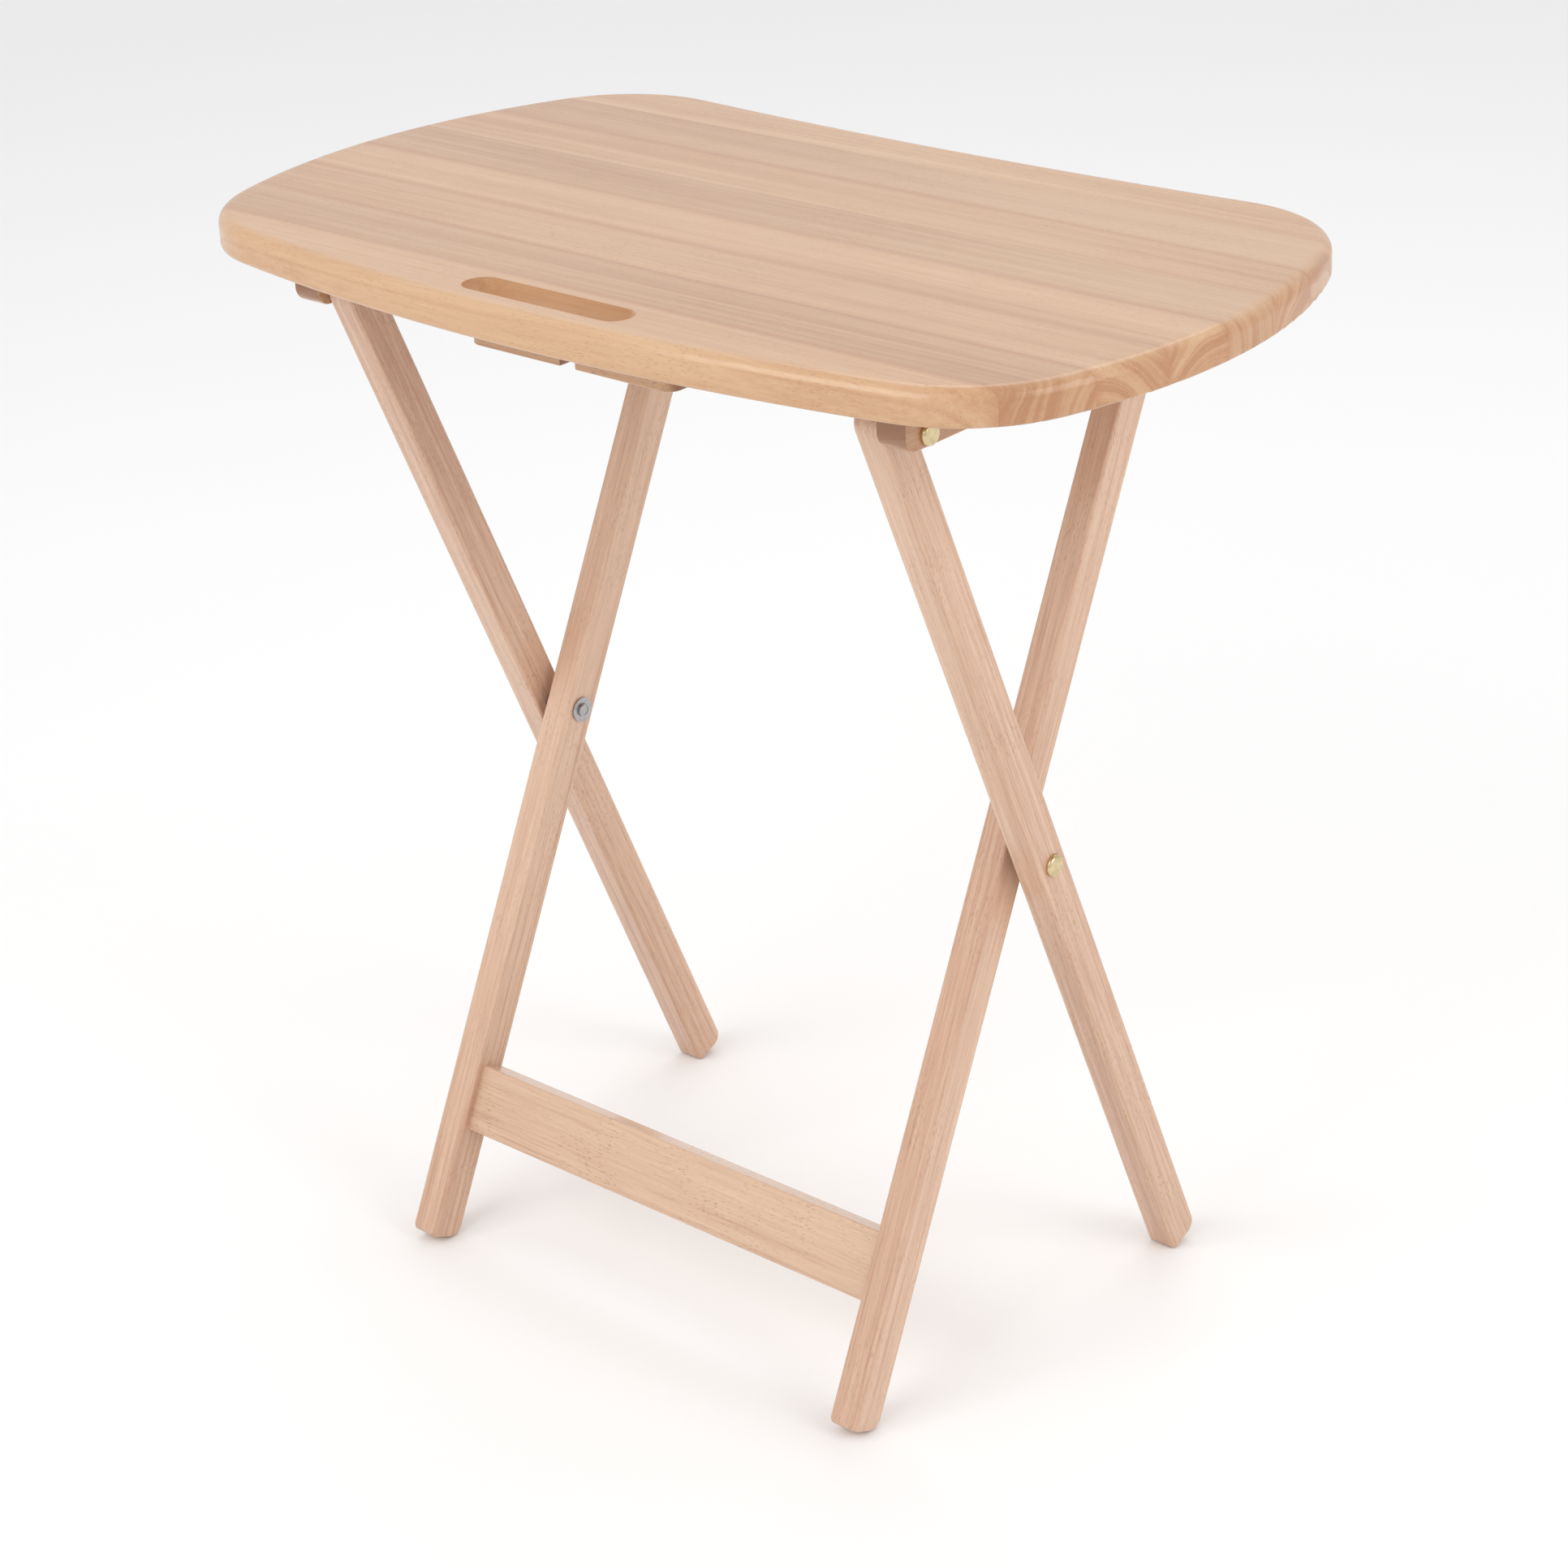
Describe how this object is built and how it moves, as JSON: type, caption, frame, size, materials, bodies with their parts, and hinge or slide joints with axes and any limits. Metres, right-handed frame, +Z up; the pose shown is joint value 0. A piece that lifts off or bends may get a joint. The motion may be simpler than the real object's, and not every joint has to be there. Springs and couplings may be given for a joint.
{
  "type": "folding tray table",
  "caption": "Wooden folding tray table: rounded top with a carry slot, on two crossed leg frames that close like scissors.",
  "frame": {"origin": "on the floor under the middle of the top", "axes": "+X along the long side of the top, -Y towards the side with the carry slot, +Z up"},
  "size_m": [0.66, 0.39, 0.66],
  "materials": {
    "top_wood": "satin lacquer",
    "frame_wood": "satin lacquer",
    "yellow_zinc": "yellow zinc plate",
    "plain_steel": "plain zinc plate"
  },
  "bodies": {
    "outer_legs": {"left_centre_pivot_bolt": "yellow_zinc", "left_centre_pivot_nut": "plain_steel", "left_centre_pivot_spacer": "plain_steel", "left_centre_pivot_washer": "plain_steel", "left_outer_leg": "frame_wood", "left_top_pivot_bolt": "yellow_zinc", "left_top_pivot_insert": "plain_steel", "left_top_pivot_washer": "plain_steel", "right_centre_pivot_bolt": "yellow_zinc", "right_centre_pivot_nut": "plain_steel", "right_centre_pivot_spacer": "plain_steel", "right_centre_pivot_washer": "plain_steel", "right_outer_leg": "frame_wood", "right_top_pivot_bolt": "yellow_zinc", "right_top_pivot_insert": "plain_steel", "right_top_pivot_washer": "plain_steel"},
    "inner_frame": {"bottom_stretcher": "frame_wood", "left_inner_leg": "frame_wood", "right_inner_leg": "frame_wood", "stretcher_dowels": "frame_wood", "top_crossbar": "frame_wood"},
    "tabletop": {"batten_screws": "yellow_zinc", "catch_block_screws": "yellow_zinc", "grip_block_screws": "yellow_zinc", "left_batten": "frame_wood", "left_catch_block": "frame_wood", "left_grip_block": "frame_wood", "right_batten": "frame_wood", "right_catch_block": "frame_wood", "right_grip_block": "frame_wood", "tabletop_board_1": "top_wood", "tabletop_board_2": "top_wood", "tabletop_board_3": "top_wood", "tabletop_board_4": "top_wood", "tabletop_board_5": "top_wood", "tabletop_board_6": "top_wood", "tabletop_board_7": "top_wood", "tabletop_board_8": "top_wood"}
  },
  "joints": [
    {"name": "leg_fold", "type": "hinge", "parent": "outer_legs", "child": "inner_frame", "pos_m": [0, -0.004, 0.315], "axis": [1, 0, 0], "range_deg": [0, 48.2]},
    {"name": "top_lift", "type": "hinge", "parent": "outer_legs", "child": "tabletop", "pos_m": [0, -0.12793, 0.61869], "axis": [1, 0, 0], "range_deg": [0, 65]}
  ]
}
